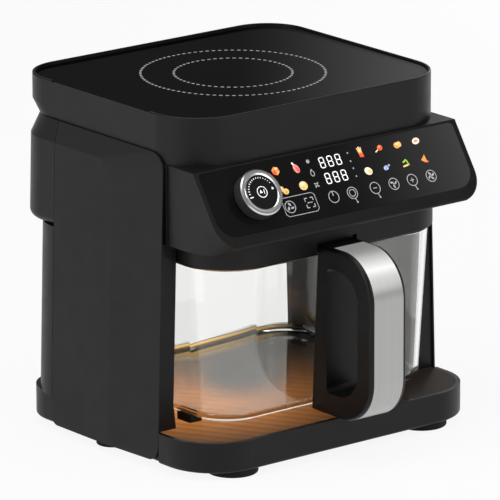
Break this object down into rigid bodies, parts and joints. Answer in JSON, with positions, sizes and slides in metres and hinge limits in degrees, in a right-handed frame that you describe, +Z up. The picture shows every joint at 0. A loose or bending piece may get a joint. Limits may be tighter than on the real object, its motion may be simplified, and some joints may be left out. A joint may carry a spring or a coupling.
{
  "type": "countertop air fryer oven",
  "caption": "Countertop air fryer oven: an open-backed stand with a fan-heater head, a flat hob on top, a sloping control panel and a pull-out glass pot.",
  "frame": {"origin": "middle of the footprint of the whole part, at the level it stands on", "axes": "+Z up, front and pot handle towards -Y, +X to the right seen from the front"},
  "size_m": [0.3568, 0.3754, 0.348],
  "materials": {
    "black_case": "satin black moulding",
    "cover_plastic": "fine-grained charcoal moulding",
    "tray_plastic": "satin black moulding",
    "deck_gloss": "smooth glossy dark deck",
    "foot_rubber": "matte black rubber",
    "screw_steel": "plain bright steel",
    "hob_black_glass": "polished black glass-ceramic",
    "panel_black_glass": "polished black glass with printed marks",
    "coil_former": "dark heat-proof moulding",
    "ferrite": "dull grey-black",
    "coil_copper": "wound enamelled copper",
    "insulation": "pale felted fibre",
    "sensor_metal": "plain sheet metal",
    "circuit_board": "green board with parts",
    "reflector_steel": "bright pressed sheet",
    "heater_steel": "dull dark tube",
    "clear_glass": "clear polished glass",
    "lamp_ceramic": "pale unglazed ceramic",
    "display_dark": "dark display block",
    "handle_plastic": "satin black grip",
    "handle_steel": "brushed along its length",
    "knob_silver": "spun silver with dark side",
    "knob_black": "gloss black disc"
  },
  "bodies": {
    "root": {"base_shell": "black_case", "left_column": "black_case", "right_column": "black_case", "head_shell": "black_case", "rear_housing": "black_case", "hood_collar": "black_case", "bottom_plate": "black_case", "left_side_cover": "cover_plastic", "right_side_cover": "cover_plastic", "tray_housing": "tray_plastic", "rear_vent_grille": "tray_plastic", "deck_panel": "deck_gloss", "front_feet": "foot_rubber", "side_feet": "foot_rubber", "rear_feet": "foot_rubber", "pot_rests": "foot_rubber", "glass_seal": "foot_rubber", "cord_gland": "foot_rubber", "base_screws": "screw_steel", "temperature_probe": "screw_steel", "hob_glass": "hob_black_glass", "control_glass": "panel_black_glass", "coil_carrier": "coil_former", "encoder": "coil_former", "rear_fan_frame": "coil_former", "pot_sensor": "coil_former", "ferrite_bars": "ferrite", "induction_coil": "coil_copper", "coil_insulation": "insulation", "chamber_insulation": "insulation", "hob_sensor": "sensor_metal", "motor_bracket": "sensor_metal", "motor": "sensor_metal", "hob_board": "circuit_board", "control_board": "circuit_board", "power_board": "circuit_board", "heat_reflector": "reflector_steel", "heater_guard": "reflector_steel", "heater_element": "heater_steel", "lamp_lens": "clear_glass", "chamber_lamp": "lamp_ceramic", "display_module": "display_dark"},
    "pot": {"glass_pot": "clear_glass", "handle_grip": "handle_plastic", "handle_strip": "handle_steel", "handle_gasket": "foot_rubber", "clamp_plate": "screw_steel", "handle_screws": "screw_steel", "pot_magnet": "ferrite"},
    "fan": {"convection_fan": "sensor_metal", "cooling_impeller": "sensor_metal", "motor_shaft": "screw_steel"},
    "knob": {"knob_shaft": "screw_steel", "knob_barrel": "knob_silver", "knob_face": "knob_black"},
    "button": {"knob_button": "knob_black"},
    "rear_fan": {"rear_fan_rotor": "coil_former"}
  },
  "joints": [
    {"name": "pot_slide", "type": "slide", "parent": "root", "child": "pot", "axis": [0, -1, 0], "range_m": [0, 0.2]},
    {"name": "fan_spin", "type": "hinge", "parent": "root", "child": "fan", "pos_m": [0, 0.01512, 0.25], "axis": [0, 0, 1], "continuous": true},
    {"name": "knob_turn", "type": "hinge", "parent": "root", "child": "knob", "pos_m": [-0.1024, -0.11239, 0.27184], "axis": [0, -0.8283, 0.5603], "continuous": true},
    {"name": "button_push", "type": "slide", "parent": "knob", "child": "button", "axis": [0, 0.8283, -0.5603], "range_m": [0, 0.0015], "stiffness_N_per_m": 400},
    {"name": "rear_fan_spin", "type": "hinge", "parent": "root", "child": "rear_fan", "pos_m": [0.062, 0.175, 0.2555], "axis": [0, 1, 0], "continuous": true}
  ]
}
